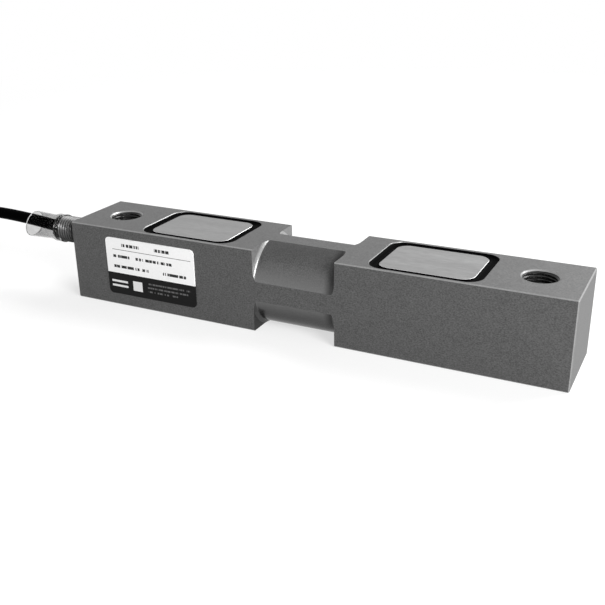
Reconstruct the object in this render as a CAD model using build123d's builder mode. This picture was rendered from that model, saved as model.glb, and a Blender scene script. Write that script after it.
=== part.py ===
from build123d import *
from math import cos, pi, radians, sin, sqrt, tan
import os

# Double ended beam load cell, in millimetres.
# X runs along the beam with the cable end at minus X. Minus Y is the face with the name plate.
# Plus Z is up, and the origin is the centre of the underside.

# Beam
beam_length = 206.0
beam_width = 33.5
beam_height = 33.5
edge_break = 0.4

# Threaded mounting holes, half inch by twenty threads to the inch, one near each end
hole_inset = 16.0
hole_radius = 6.35
hole_mouth = 0.5

# Turned neck between the two square blocks
neck_length = 34.0
neck_radius = 17.2
neck_fillet = 1.5

# Gauge pockets, a shallow cover recess with a deeper well under it, top and bottom of each block
hole_to_recess = 10.65
recess_length = 42.0
recess_width = 31.2
recess_corner = 6.0
recess_depth = 2.2
recess_lip = 0.2
well_length = 30.0
well_width = 22.6
well_corner = 3.5
web_thickness = 6.0

# Cover plates and the seal round them
cover_length = 35.6
cover_width = 26.2
cover_corner = 4.8
cover_thickness = 1.8
cover_edge = 0.3
seal_recess = 0.9

# Strain gauges, solder terminals and their coating on the webs
gauge_length = 9.2
gauge_width = 7.4
gauge_corner = 0.6
gauge_backing = 0.2
grid_side = 3.0
grid_gap = 0.3
grid_angle = 45.0
foil_thickness = 0.1
tab_length = 1.2
tab_width = 0.8
tab_pitch = 2.6
tab_margin = 0.3
terminal_offset = 8.0
terminal_length = 8.6
terminal_width = 3.0
terminal_thickness = 0.6
pad_radius = 0.75
pad_height = 0.3
pad_pitch = 2.0
pad_count = 4
coating_length = 17.0
coating_width = 14.0
coating_thickness = 1.8
coating_corner = 3.5
coating_slope = 0.8
coating_shift = 2.0

# Trim board in the left top well
board_length = 28.0
board_width = 20.6
board_corner = 3.0
board_thickness = 1.2
pillar_radius = 1.2
pillar_inset = 2.0
resistor_radius = 0.9
resistor_length = 4.2
resistor_pitch = 2.8
resistor_count = 4

# Cable entry on the left end face
channel_radius = 1.5
channel_wall = 1.65
channel_run_out = 2.5
spigot_drop = 6.3
spigot_radius = 5.556
spigot_length = 12.8
spigot_chamfer = 0.8
spigot_bore = 3.9
bore_floor = 1.0
stub_radius = 4.0
stub_length = 6.0
fit_clearance = 0.02
seal_setback = 0.8

# Wires inside
core_radius = 0.5
core_count = 4
core_ring_radius = 0.8
core_lap = 4.0
core_lift = 0.05
wire_radius = 0.25
wire_pitch = 1.1
wire_rise = 2.6
cross_hole_radius = 1.5
cross_hole_inset = 3.2
cross_hole_y = 5.5
neck_wire_lap = 5.0
neck_wire_turn = 2.0
neck_wire_step = 1.5

# Clear sleeve over the nose of the spigot and the start of the cable
sleeve_wall = 0.35
sleeve_lap = 3.6
sleeve_clearance = 0.04
sleeve_waist = 4.95
sleeve_taper = 2.6
sleeve_mouth = 5.3
sleeve_reach = 14.2
sleeve_spare = 1.6
sleeve_tilt = 11.0

# Name plate on the front of the left block
plate_length = 42.5
plate_height = 24.3
plate_corner = 1.7
plate_thickness = 0.4
plate_inset = 17.35
plate_foot = 5.2

# Cable, with its route to the coil as steps from the spigot's axis at the end face:
# away from the beam, towards the back, and up
cable_radius = 2.5
cable_setback = 0.2
lead_route = [(10.5, 0.0, 0.0), (23.5, 0.0, 1.45), (38.5, 0.0, 2.4), (52.0, -0.7, 2.8), (71.0, -6.9, 3.4)]
arc_share = 0.45

# Long narrow coil of the rest of the cable, with straight runs between two half-round ends, and the
# number of turns in each of its rows from the bottom up
coil_distance = 105.5
coil_shift = 9.0
coil_run = 96.0
coil_radius = 20.0
coil_rows = [3, 2, 3, 2, 3, 2, 1]
coil_crown = 1.2
coil_slope = 1.2
row_rise = 4.35
stub_sink = 0.3
stub_lift = 0.2
lead_stub = 22.0

# Ties round the coil, one at the middle of each run
tie_width = 4.8
tie_thickness = 1.0
tie_gap = 0.2
tie_head_length = 6.6
tie_head_height = 3.4
tie_head_corner = 0.8

# Tail of the cable beyond the coil, as steps away from the beam, towards the back and down from the
# lowest outer turn, and its bare cores as steps from the jacket's end
tail_stub = 18.0
tail_route = [(24.0, 0.6, -0.9), (30.0, 2.0, -1.2)]
tail_core_radius = 0.6
tail_core_spread = 0.8
tail_core_straight = 4.0
tail_core_steps = [8.0, 13.0, 18.0]
tail_core_fans = [1.3, 2.4, 3.2]

# Heights and places that follow from the sizes above
axis_height = beam_height / 2
ledge_height = beam_height - recess_depth
well_depth = (beam_height - web_thickness) / 2 - recess_depth
web_top = axis_height + web_thickness / 2
left_end = -beam_length / 2
hole_spacing = beam_length - 2 * hole_inset
pocket_centre = hole_spacing / 2 - hole_radius - hole_to_recess - recess_length / 2
well_inner_end = pocket_centre - well_length / 2
well_outer_end = pocket_centre + well_length / 2
spigot_y = -(hole_radius + channel_wall + channel_radius)
spigot_z = beam_height - spigot_drop
spigot_end = left_end - spigot_length
cable_inner_end = left_end - bore_floor - cable_setback
board_top = spigot_z - core_ring_radius - core_radius - core_lift
board_bottom = board_top - board_thickness
terminal_x = pocket_centre - terminal_offset
pad_top = web_top + terminal_thickness + pad_height
cross_hole_x = well_inner_end + cross_hole_inset
mid_plane = Plane.XY.offset(axis_height)
neck_axis = Axis((0, 0, axis_height), (1, 0, 0))
sides = {"left": -1, "right": 1}

os.makedirs("parts", exist_ok=True)


def finish(part, label):
    """Label a finished piece and write its STEP file."""
    part.label = label
    export_step(part, f"parts/{label}.step")
    return part


def facing(part, face):
    """A piece as built for the top of the beam, or its mirror image for the underside."""
    return part if face == "top" else part.mirror(mid_plane)


def across(x):
    """The plane across the spigot's axis at a place along the beam, facing the cable end."""
    return Plane(origin=(x, spigot_y, spigot_z), x_dir=(0, -1, 0), z_dir=(-1, 0, 0))


def pad_place(number):
    """How far a solder pad lies from the beam's centre line."""
    return (number - (pad_count - 1) / 2) * pad_pitch


def largest_radii(points):
    """The largest arc that each inner corner of a route allows, within its share of both runs."""
    radii = []
    for before, here, after in zip(points, points[1:], points[2:]):
        inward = Vector(*here) - Vector(*before)
        outward = Vector(*after) - Vector(*here)
        half_turn = radians(inward.get_angle(outward)) / 2
        radii.append(arc_share * min(inward.length, outward.length) / tan(half_turn))
    return radii


def bent_wire(points, radius):
    """A thin wire along straight runs with mitred corners."""
    start = Vector(*points[0])
    with BuildPart() as wire:
        with BuildLine() as route:
            Polyline(*points)
        with BuildSketch(Plane(origin=start, z_dir=Vector(*points[1]) - start)):
            Circle(radius)
        sweep(path=route.line, transition=Transition.RIGHT)
    return wire.part


def cable_tube(points, label):
    """A free stretch of the cable along tangent arcs, with a note of its radii and of its volume."""
    radii = largest_radii(points)
    with BuildLine() as route:
        FilletPolyline(*points, radius=radii)
    start = Vector(*points[0])
    with BuildPart() as tube:
        with BuildSketch(Plane(origin=start, z_dir=Vector(*points[1]) - start)):
            Circle(cable_radius)
        sweep(path=route.line)
    true_volume = pi * cable_radius**2 * sum(edge.length for edge in route.edges())
    print(label, "radii", [round(radius, 1) for radius in radii])
    print(label, "volume over section times length", round(tube.part.volume / true_volume, 5))
    return finish(tube.part, label)


# Beam body, one bar of steel with its neck, holes, pockets and wire ways
with BuildPart() as beam_body:
    Box(beam_length, beam_width, beam_height, align=(Align.CENTER, Align.CENTER, Align.MIN))
    chamfer(beam_body.edges(), edge_break)

    # The neck is turned round, which leaves a narrow flat on each of the four sides.
    ring_depth = beam_width
    with BuildSketch(Plane.XZ) as turned_away:
        with Locations((0, axis_height + neck_radius + ring_depth / 2)):
            Rectangle(neck_length, ring_depth)
        fillet(turned_away.vertices().group_by(Axis.Z)[0], neck_fillet)
    revolve(axis=neck_axis, mode=Mode.SUBTRACT)

    # Cover recesses and gauge wells leave a web at mid height.
    for face_plane in (Plane.XY.offset(beam_height), -Plane.XY):
        with BuildSketch(face_plane):
            with GridLocations(2 * pocket_centre, 0, 2, 1):
                RectangleRounded(recess_length, recess_width, recess_corner)
        extrude(amount=-recess_depth, mode=Mode.SUBTRACT)
        with BuildSketch(face_plane.offset(-recess_depth)):
            with GridLocations(2 * pocket_centre, 0, 2, 1):
                RectangleRounded(well_length, well_width, well_corner)
        extrude(amount=-well_depth, mode=Mode.SUBTRACT)

    # The recess mouths have a light chamfer that catches the light.
    rim_edges = beam_body.edges().filter_by(
        lambda edge: abs(edge.center().Z - axis_height) > axis_height - 0.001
        and abs(abs(edge.center().X) - pocket_centre) < recess_length / 2 + 0.001
        and abs(edge.center().Y) < recess_width / 2 + 0.001
    )
    chamfer(rim_edges, recess_lip)

    # Mounting holes go right through, with a chamfered mouth at each face.
    with BuildSketch(Plane.XY):
        with GridLocations(hole_spacing, 0, 2, 1):
            Circle(hole_radius)
    extrude(amount=beam_height, mode=Mode.SUBTRACT)
    hole_edges = beam_body.edges().filter_by(GeomType.CIRCLE)
    chamfer(hole_edges.filter_by(lambda edge: abs(edge.radius - hole_radius) < 0.001), hole_mouth)

    # One long drilled hole carries the wires past the mounting hole and through the neck.
    with BuildSketch(across(left_end)):
        Circle(stub_radius + fit_clearance)
    extrude(amount=-stub_length - fit_clearance, mode=Mode.SUBTRACT)
    with BuildSketch(across(left_end)):
        Circle(channel_radius)
    extrude(amount=left_end - well_inner_end - channel_run_out, mode=Mode.SUBTRACT)

    # A small hole through each web joins the top and bottom wells.
    with BuildSketch(mid_plane):
        with Locations((-cross_hole_x, cross_hole_y), (cross_hole_x, cross_hole_y)):
            Circle(cross_hole_radius)
    extrude(amount=web_thickness / 2, both=True, mode=Mode.SUBTRACT)
finish(beam_body.part, "beam_body")

# Wires that join the top and bottom gauges of each block through its web
web_wires = {}
for side_name, side in sides.items():
    wires = []
    for number in range(2):
        pad_y = pad_place(number + 2)
        way_x = cross_hole_x + (number - 0.5) * wire_pitch
        upper = web_top + wire_rise
        lower = 2 * axis_height - upper
        wire_points = [
            (side * terminal_x, pad_y, 2 * axis_height - pad_top),
            (side * terminal_x, pad_y, lower),
            (side * way_x, cross_hole_y, lower),
            (side * way_x, cross_hole_y, upper),
            (side * terminal_x, pad_y, upper),
            (side * terminal_x, pad_y, pad_top),
        ]
        wires.append(bent_wire(wire_points, wire_radius))
    with BuildPart() as pair:
        add(wires)
    web_wires[side_name] = finish(pair.part, f"web_wires_{side_name}")

# Wires from the trim board to the right block, through the neck
wires = []
for number in range(2):
    lane_y = spigot_y + (number - 0.5) * wire_pitch
    turn_x = well_inner_end + neck_wire_turn + (1 - number) * neck_wire_step
    neck_points = [
        (-well_inner_end - neck_wire_lap, lane_y, board_top),
        (-well_inner_end - neck_wire_lap, lane_y, spigot_z),
        (turn_x, lane_y, spigot_z),
        (terminal_x, pad_place(number), spigot_z),
        (terminal_x, pad_place(number), pad_top),
    ]
    wires.append(bent_wire(neck_points, wire_radius))
with BuildPart() as neck_wires:
    add(wires)
finish(neck_wires.part, "neck_wires")

# Wires from the left terminals up to the underside of the trim board
with BuildPart() as board_wires:
    with BuildSketch(Plane.XY.offset(pad_top)):
        with Locations((-terminal_x, pad_place(0)), (-terminal_x, pad_place(1))):
            Circle(wire_radius)
    extrude(amount=board_bottom - pad_top)
finish(board_wires.part, "board_wires")
top_wires = {"left": board_wires.part, "right": neck_wires.part}

# Gauges, terminals, coatings, covers and seals, one of each in every pocket
for side_name, side in sides.items():
    pocket_x = side * pocket_centre

    # Two foil grids at 45 degrees sense shear in the web.
    with BuildPart() as gauge:
        with BuildSketch(Plane.XY.offset(web_top)):
            with Locations((pocket_x, 0)):
                RectangleRounded(gauge_length, gauge_width, gauge_corner)
        extrude(amount=gauge_backing)
        with BuildSketch(Plane.XY.offset(web_top + gauge_backing)):
            with Locations((pocket_x, 0)):
                with GridLocations(grid_side * sqrt(2) + grid_gap, 0, 2, 1):
                    Rectangle(grid_side, grid_side, rotation=grid_angle)
            tab_y = -gauge_width / 2 + tab_margin + tab_width / 2
            with Locations((pocket_x, tab_y)):
                with GridLocations(tab_pitch, 0, 3, 1):
                    Rectangle(tab_length, tab_width)
        extrude(amount=foil_thickness)

    with BuildPart() as terminal:
        with BuildSketch(Plane.XY.offset(web_top)):
            with Locations((side * terminal_x, 0)):
                Rectangle(terminal_width, terminal_length)
        extrude(amount=terminal_thickness)
        with BuildSketch(Plane.XY.offset(web_top + terminal_thickness)):
            with Locations(*[(side * terminal_x, pad_place(number)) for number in range(pad_count)]):
                Circle(pad_radius)
        extrude(amount=pad_height)

    with BuildPart() as cover:
        with BuildSketch(Plane.XY.offset(ledge_height)):
            with Locations((pocket_x, 0)):
                RectangleRounded(cover_length, cover_width, cover_corner)
        extrude(amount=cover_thickness)
        chamfer(cover.faces().sort_by(Axis.Z)[-1].edges(), cover_edge)

    with BuildPart() as seal:
        with BuildSketch(Plane.XY.offset(ledge_height)):
            with Locations((pocket_x, 0)):
                RectangleRounded(recess_length, recess_width, recess_corner)
                RectangleRounded(cover_length, cover_width, cover_corner, mode=Mode.SUBTRACT)
        extrude(amount=recess_depth - seal_recess)

    with BuildPart() as bare_coating:
        with BuildSketch(Plane.XY.offset(web_top)):
            with Locations((pocket_x - side * coating_shift, 0)):
                RectangleRounded(coating_length, coating_width, coating_corner)
        extrude(amount=coating_thickness)
        chamfer(bare_coating.faces().sort_by(Axis.Z)[-1].edges(), coating_slope)

    for face in ("top", "bottom"):
        place = f"{side_name}_{face}"
        finish(facing(cover.part, face), f"cover_plate_{place}")
        finish(facing(seal.part, face), f"seal_bead_{place}")
        finish(facing(gauge.part, face), f"strain_gauge_{place}")
        finish(facing(terminal.part, face), f"solder_terminal_{place}")
        with BuildPart() as coating:
            add(facing(bare_coating.part, face))
            add(facing(gauge.part, face), mode=Mode.SUBTRACT)
            add(facing(terminal.part, face), mode=Mode.SUBTRACT)
            add(web_wires[side_name], mode=Mode.SUBTRACT)
            if face == "top":
                add(top_wires[side_name], mode=Mode.SUBTRACT)
        finish(coating.part, f"gauge_coating_{place}")

# Trim board with its pillars and resistors, in the left top well
with BuildPart() as board_pillars:
    with BuildSketch(Plane.XY.offset(web_top)):
        with Locations((-pocket_centre, 0)):
            with GridLocations(board_length - 2 * pillar_inset, board_width - 2 * pillar_inset, 2, 2):
                Circle(pillar_radius)
    extrude(amount=board_bottom - web_top)
finish(board_pillars.part, "board_pillars")

with BuildPart() as trim_board:
    with BuildSketch(Plane.XY.offset(board_bottom)):
        with Locations((-pocket_centre, 0)):
            RectangleRounded(board_length, board_width, board_corner)
    extrude(amount=board_thickness)
finish(trim_board.part, "trim_board")

with BuildPart() as trim_resistors:
    with BuildSketch(Plane.YZ.offset(-pocket_centre - resistor_length / 2)):
        for number in range(resistor_count):
            with Locations(((number - 1) * resistor_pitch, board_top + resistor_radius)):
                Circle(resistor_radius)
    extrude(amount=resistor_length)
finish(trim_resistors.part, "trim_resistors")

# Threaded spigot that the cable enters by, at its thread's full diameter
with BuildPart() as threaded_spigot:
    with BuildSketch(across(left_end)):
        Circle(spigot_radius)
    extrude(amount=spigot_length)
    chamfer(threaded_spigot.faces().sort_by(Axis.X)[0].edges(), spigot_chamfer)
    with BuildSketch(across(left_end)):
        Circle(stub_radius)
    extrude(amount=-stub_length)
    with BuildSketch(across(left_end - bore_floor)):
        Circle(spigot_bore)
    extrude(amount=spigot_length, mode=Mode.SUBTRACT)
    with BuildSketch(across(left_end + stub_length + fit_clearance)):
        Circle(channel_radius)
    extrude(amount=stub_length + spigot_length, mode=Mode.SUBTRACT)
finish(threaded_spigot.part, "threaded_spigot")

# Cores of the cable, through the drilled hole and onto the trim board
with BuildPart() as cable_cores:
    with BuildSketch(across(cable_inner_end)):
        with PolarLocations(core_ring_radius, core_count):
            Circle(core_radius)
    extrude(amount=cable_inner_end + well_outer_end - core_lap)
finish(cable_cores.part, "cable_cores")

# Clear sleeve, pushed over the nose of the spigot, with its mouth tilted up after the cable
tilt = radians(sleeve_tilt)
sleeve_end = Plane(
    origin=(spigot_end - sleeve_reach, spigot_y, spigot_z),
    x_dir=(0, -1, 0),
    z_dir=(-cos(tilt), 0, sin(tilt)),
)
sleeve_inside = [
    (spigot_end + sleeve_lap, spigot_radius + sleeve_clearance),
    (spigot_end, spigot_radius + sleeve_clearance),
    (spigot_end - sleeve_taper, sleeve_waist),
    (spigot_end - sleeve_reach - sleeve_spare, sleeve_mouth),
]
sleeve_outside = [(x, radius + sleeve_wall) for x, radius in reversed(sleeve_inside)]
with BuildPart() as clear_sleeve:
    with BuildSketch(Plane.XZ.offset(-spigot_y)):
        with BuildLine():
            Polyline(*[(x, spigot_z + radius) for x, radius in sleeve_inside + sleeve_outside], close=True)
        make_face()
    revolve(axis=Axis((0, spigot_y, spigot_z), (1, 0, 0)))
    split(bisect_by=sleeve_end, keep=Keep.BOTTOM)
finish(clear_sleeve.part, "clear_sleeve")

# Name plate, a thin printed foil on the front face
with BuildPart() as name_plate:
    with BuildSketch(Plane.XZ.offset(beam_width / 2)):
        with Locations((left_end + plate_inset + plate_length / 2, plate_foot + plate_height / 2)):
            RectangleRounded(plate_length, plate_height, plate_corner)
    extrude(amount=plate_thickness)
finish(name_plate.part, "name_plate")

# Places of the coil: its lead comes in on top at the front, and its tail goes out at the bottom
coil_floor = tie_gap + tie_thickness
coil_near_x = left_end - coil_distance
coil_far_x = coil_near_x - coil_run
lead_y = spigot_y - coil_shift
coil_y = lead_y + coil_radius + (coil_rows[-1] - 1) * cable_radius - stub_sink


def turn_place(row, way):
    """Radius at the ends and height of the innermost (-1) or outermost (1) turn in a row."""
    half_row = (coil_rows[row] - 1) * cable_radius
    return coil_radius + way * half_row, coil_floor + cable_radius + row * row_rise


coil_top = turn_place(len(coil_rows) - 1, 1)[1]


def coil_section(margin):
    """The section round all turns of one run of the coil, grown by a margin."""
    widest = [row for row, turns in enumerate(coil_rows) if turns == max(coil_rows)]
    outside = [turn_place(row, 1) for row in (widest[0], widest[-1])] + [(coil_radius + coil_crown, coil_top)]
    inside = [(2 * coil_radius - radius, height) for radius, height in reversed(outside)]
    corners = outside + inside
    with BuildSketch() as section:
        with BuildLine():
            Polyline(*corners, close=True)
        make_face()
        offset(amount=cable_radius + margin, kind=Kind.INTERSECTION)
        chamfer(section.vertices(), coil_slope)
    return section.sketch


def coil_side(fold_x, way):
    """The plane across a run of the coil, at the back (1) or the front (-1), at one of its ends."""
    return Plane(origin=(fold_x, coil_y, 0), x_dir=(0, way, 0), z_dir=(way, 0, 0))


def step_along(start, through, distance):
    """The point that lies a distance along the beam's direction from a start, on a line to another."""
    share = distance / (through[0] - start[0])
    return tuple(a + share * (b - a) for a, b in zip(start, through))


# Cable from inside the spigot to the coil
lead_join = (coil_near_x, lead_y, coil_top + stub_lift)
lead_points = [(cable_inner_end, spigot_y, spigot_z)]
lead_points += [(left_end - away, spigot_y + back, spigot_z + up) for away, back, up in lead_route]
lead_points.append(step_along(lead_join, lead_points[-1], lead_stub))
cable_lead = cable_tube(lead_points, "cable_lead")

# Seal that grips the cable in the spigot's bore
with BuildPart() as cable_seal:
    with BuildSketch(across(left_end - bore_floor)):
        Circle(spigot_bore)
    extrude(amount=spigot_length - bore_floor - seal_setback)
    with BuildSketch(across(left_end - bore_floor)):
        Circle(cable_radius)
    extrude(amount=cable_setback, mode=Mode.SUBTRACT)
    add(cable_lead, mode=Mode.SUBTRACT)
finish(cable_seal.part, "cable_seal")

# Tail of the cable, which leaves the lowest row on its outside
tail_radius, tail_height = turn_place(0, 1)
tail_join = (coil_far_x, coil_y - tail_radius + stub_sink, tail_height)
tail_points = [
    (tail_join[0] - away, tail_join[1] + back, tail_join[2] + up) for away, back, up in tail_route
]
tail_points.insert(0, step_along(tail_join, tail_points[0], -tail_stub))
cable_tail = cable_tube(tail_points, "cable_tail")

# Coil of the rest of the cable, as the outer shape of its turns with its two straight ends
coil_shape = coil_section(0)
with BuildPart() as cable_coil:
    for fold_x, way in ((coil_near_x, 1), (coil_far_x, -1)):
        with BuildSketch(coil_side(fold_x, way)):
            add(coil_shape)
        extrude(amount=-coil_run)
        with BuildSketch(coil_side(fold_x, way)):
            add(coil_shape)
        revolve(axis=Axis((fold_x, coil_y, 0), (0, 0, -1)), revolution_arc=180)
    for join, end in ((lead_join, lead_points[-1]), (tail_join, tail_points[0])):
        stub = Vector(*end) - Vector(*join)
        with BuildSketch(Plane(origin=join, z_dir=stub)):
            Circle(cable_radius)
        extrude(amount=stub.length)
finish(cable_coil.part, "cable_coil")

# Ties that hold the coil, each a strap round all the turns of one run with a head inside
strap_outside = coil_section(tie_gap + tie_thickness)
strap_inside = coil_section(tie_gap)
head_radius = turn_place(0, -1)[0] - cable_radius - tie_gap - tie_head_height / 2
with BuildPart() as coil_ties:
    for way in (1, -1):
        with BuildSketch(coil_side((coil_near_x + coil_far_x) / 2, way)):
            add(strap_outside)
            with Locations((head_radius, coil_top / 2)):
                RectangleRounded(tie_head_height, tie_head_length, tie_head_corner)
            add(strap_inside, mode=Mode.SUBTRACT)
        extrude(amount=tie_width / 2, both=True)
finish(coil_ties.part, "coil_ties")

# Bare cores at the tail's end, fanned out and laid down
jacket_end = Vector(*tail_points[-1])
onward = (jacket_end - Vector(*tail_points[-2])).normalized()
sideways = Vector(0, 0, 1).cross(onward).normalized()
upright = onward.cross(sideways)
cores = []
for number in range(core_count):
    fan = number - (core_count - 1) / 2
    level = -1 if number % 2 else 1
    first = jacket_end + (sideways * fan + upright * level) * tail_core_spread
    core_points = [first, first + onward * tail_core_straight]
    for step, spread in zip(tail_core_steps, tail_core_fans):
        place = jacket_end + onward * step + sideways * (fan * spread)
        core_points.append(Vector(place.X, place.Y, tail_core_radius))
    core_points[2] += Vector(0, 0, tail_core_radius / 2)
    cores.append(bent_wire([tuple(point) for point in core_points], tail_core_radius))
with BuildPart() as tail_cores:
    add(cores)
finish(tail_cores.part, "tail_cores")
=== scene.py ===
# %% [markdown]
# A double ended beam load cell: one bar of plated steel with two square blocks and a turned neck.
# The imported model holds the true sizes. This script dresses it, in metres and in the same frame:
# X along the beam with the cable end at minus X, minus Y towards the name plate, Z up.

# %% Load the frame
from functools import reduce
from math import cos, pi, radians, sin, tau

import bmesh
import bpy
from mathutils import Matrix, Vector


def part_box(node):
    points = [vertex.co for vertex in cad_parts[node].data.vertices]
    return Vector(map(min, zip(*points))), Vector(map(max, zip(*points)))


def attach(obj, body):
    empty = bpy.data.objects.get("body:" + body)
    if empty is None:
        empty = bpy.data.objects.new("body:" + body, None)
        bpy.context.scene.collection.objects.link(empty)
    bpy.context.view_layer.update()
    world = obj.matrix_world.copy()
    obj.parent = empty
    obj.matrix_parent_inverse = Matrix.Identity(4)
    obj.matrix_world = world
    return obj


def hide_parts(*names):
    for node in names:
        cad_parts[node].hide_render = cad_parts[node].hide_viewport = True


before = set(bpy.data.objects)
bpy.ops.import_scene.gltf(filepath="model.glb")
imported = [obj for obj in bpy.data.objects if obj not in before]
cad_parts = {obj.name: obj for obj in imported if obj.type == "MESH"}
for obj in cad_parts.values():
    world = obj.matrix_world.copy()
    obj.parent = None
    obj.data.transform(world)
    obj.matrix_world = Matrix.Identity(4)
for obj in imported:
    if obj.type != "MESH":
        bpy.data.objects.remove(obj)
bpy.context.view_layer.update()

mm = 0.001
scene = bpy.context.scene
scene.view_settings.view_transform = "Standard"


def add_object(name, data):
    """A new object in the scene."""
    item = bpy.data.objects.new(name, data)
    scene.collection.objects.link(item)
    return item


# %% [markdown]
# The camera stands where the photograph was taken from: right of the middle and a little above.
# Its place and angles come from lining up the beam's corners with the picture, so every later
# comparison is fair. A turn about its own axis levels the picture as the photograph has it.

# %% Camera
camera_place = Vector((0.14013, -0.28773, 0.14293))
camera_azimuth = radians(26.66)
camera_elevation = radians(22.76)
camera_roll = radians(-0.82)
lens_mm = 52.48

camera_data = bpy.data.cameras.new("camera")
camera_data.lens = lens_mm
camera_data.sensor_width = 36.0
camera_data.clip_start = 0.01
camera = add_object("camera", camera_data)
backward = Vector((
    sin(camera_azimuth) * cos(camera_elevation),
    -cos(camera_azimuth) * cos(camera_elevation),
    sin(camera_elevation),
))
level_right = Vector((cos(camera_azimuth), sin(camera_azimuth), 0.0))
level_up = backward.cross(level_right)
right = level_right * cos(camera_roll) + level_up * sin(camera_roll)
upward = level_up * cos(camera_roll) - level_right * sin(camera_roll)
turn = Matrix((right, upward, backward)).transposed()
camera.matrix_world = Matrix.Translation(camera_place) @ turn.to_4x4()
scene.camera = camera
print("camera", tuple(round(v, 4) for v in camera_place))

# %% [markdown]
# The cable is one smooth line with a round section, so it is a NURBS curve with a bevel. It leaves
# the spigot nearly straight, and the metres that the picture doesn't show are wound into a long
# narrow coil in line with the beam. The turns are worked out by a loop: each one has two straight
# runs and two half-round ends, and it steps over to its neighbour's place along its back run.

# %% Cable sizes, the same as in the part's source
cable_radius = 2.5 * mm
spigot_axis = Vector((-103.0, -9.5, 27.2)) * mm
lead_steps = [
    (1.2, 0.0, 0.0), (10.5, 0.0, 0.0), (23.5, 0.0, 1.45), (38.5, 0.0, 2.4), (52.0, -0.7, 2.8),
    (71.0, -6.9, 3.4), (84.0, -7.7, 3.4), (97.0, -8.6, 3.1),
]
coil_near = Vector((-208.5, 1.2, 0.0)) * mm
coil_run = 96.0 * mm
coil_radius = 20.0 * mm
coil_rows = [3, 2, 3, 2, 3, 2, 1]
coil_floor = 1.2 * mm
row_rise = 4.35 * mm
tail_steps = [(18.0, 0.4, -0.68), (24.0, 0.6, -0.9), (30.0, 2.0, -1.2)]
run_shares = [0.06, 0.3, 0.5, 0.7, 0.94]
end_points = 8
step_over = (0.15, 0.85)
print("turns in the coil", sum(coil_rows))


# %% Turns of the coil
def turn_slots():
    """Radius and height of every turn, from the top row's outermost to the bottom row's."""
    slots = []
    outwards = False
    for row in reversed(range(len(coil_rows))):
        half = (coil_rows[row] - 1) * cable_radius
        radii = [
            coil_radius - half + 2 * cable_radius * number for number in range(coil_rows[row])
        ]
        if not outwards:
            radii.reverse()
        height = coil_floor + cable_radius + row * row_rise
        slots += [(radius, height) for radius in radii]
        outwards = outwards if len(radii) == 1 else not outwards
    return slots


def eased(share):
    """A smooth step from 0 to 1."""
    share = min(max(share, 0.0), 1.0)
    return share * share * (3 - 2 * share)


def run_points(way, here, after):
    """Control points of a straight run, at the front (-1) or the back (1), with its step over."""
    points = []
    for share in run_shares:
        stepped = eased((share - step_over[0]) / (step_over[1] - step_over[0]))
        radius = here[0] + stepped * (after[0] - here[0])
        height = here[1] + stepped * (after[1] - here[1])
        far_share = share if way < 0 else 1 - share
        points.append(coil_near + Vector((-far_share * coil_run, way * radius, height)))
    return points


def bend_points(centre, slot, first_angle):
    """Control points of a half-round end, which the smooth line cuts inside of."""
    bulge = (3 + cos(pi / end_points)) / 4
    points = []
    for number in range(end_points):
        angle = first_angle - pi * (number + 0.5) / end_points
        points.append(centre + Vector((slot[0] * cos(angle), slot[0] * sin(angle), 0)) / bulge)
        points[-1].z = slot[1]
    return points


def coil_points():
    """Control points of all turns, clockwise from the front run at the near end."""
    coil_far = coil_near - Vector((coil_run, 0, 0))
    slots = turn_slots()
    points = []
    for here, after in zip(slots, slots[1:]):
        points += run_points(-1, here, here)
        points += bend_points(coil_far, here, -pi / 2)
        points += run_points(1, here, after)
        points += bend_points(coil_near, after, pi / 2)
    return points + run_points(-1, slots[-1], slots[-1])


print("coil control points", len(coil_points()))


# %% Cable as a curve
def round_curve(name, points, radius, sides=4, smoothness=4):
    """A round cord along a smooth line, with the points as its control points."""
    curve = bpy.data.curves.new(name, "CURVE")
    curve.dimensions = "3D"
    curve.bevel_depth = radius
    curve.bevel_resolution = sides
    curve.resolution_u = smoothness
    curve.use_fill_caps = True
    spline = curve.splines.new("NURBS")
    spline.points.add(len(points) - 1)
    for point, place in zip(spline.points, points):
        point.co = (*place, 1.0)
    spline.order_u = 3
    spline.use_endpoint_u = True
    return add_object(name, curve)


def steps_from(start, steps):
    """Points at steps away from the beam, towards its back and up from a start."""
    return [start + Vector((-away, back, up)) * mm for away, back, up in steps]


tail_start = coil_near + Vector((-coil_run, -turn_slots()[-1][0], turn_slots()[-1][1]))
lead_points = steps_from(spigot_axis, lead_steps)
tail_points = steps_from(tail_start, tail_steps)
cable_points = lead_points + coil_points() + tail_points
cable = round_curve("cable", cable_points, cable_radius)
print("cable control points", len(cable_points))


# %% Length of the cable
def evaluated_mesh(item):
    """A plain mesh of an object as it looks with its modifiers or its curve's smooth line."""
    evaluated = item.evaluated_get(bpy.context.evaluated_depsgraph_get())
    return bpy.data.meshes.new_from_object(evaluated)


def cord_length(item):
    """The real length of a curve's centre line."""
    bevel = item.data.bevel_depth
    item.data.bevel_depth = 0.0
    line = evaluated_mesh(item)
    item.data.bevel_depth = bevel
    places = [vertex.co.copy() for vertex in line.vertices]
    bpy.data.meshes.remove(line)
    return sum((b - a).length for a, b in zip(places, places[1:]))


cable_length = cord_length(cable)
print("cable length", round(cable_length, 3))

# %% [markdown]
# The last centimetres of the jacket are stripped, so the four cores fan out and lie down.
# Each core is a thin curve of its own with a shorter one of insulation over it, which leaves a
# few millimetres of bare copper at the tip.

# %% Flying cores
core_radius = 0.6 * mm
copper_radius = 0.3 * mm
core_count = 4
core_spread = 0.8
core_steps = [
    (0.0, 0.8, None), (4.0, 0.8, None), (8.0, 1.3, 0.9), (13.0, 2.4, 0.6), (18.0, 3.2, 0.6),
]
stripped_length = 5.0 * mm

jacket_end = tail_points[-1]
onward = (tail_points[-1] - tail_points[-2]).normalized()
sideways = Vector((0, 0, 1)).cross(onward)


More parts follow.
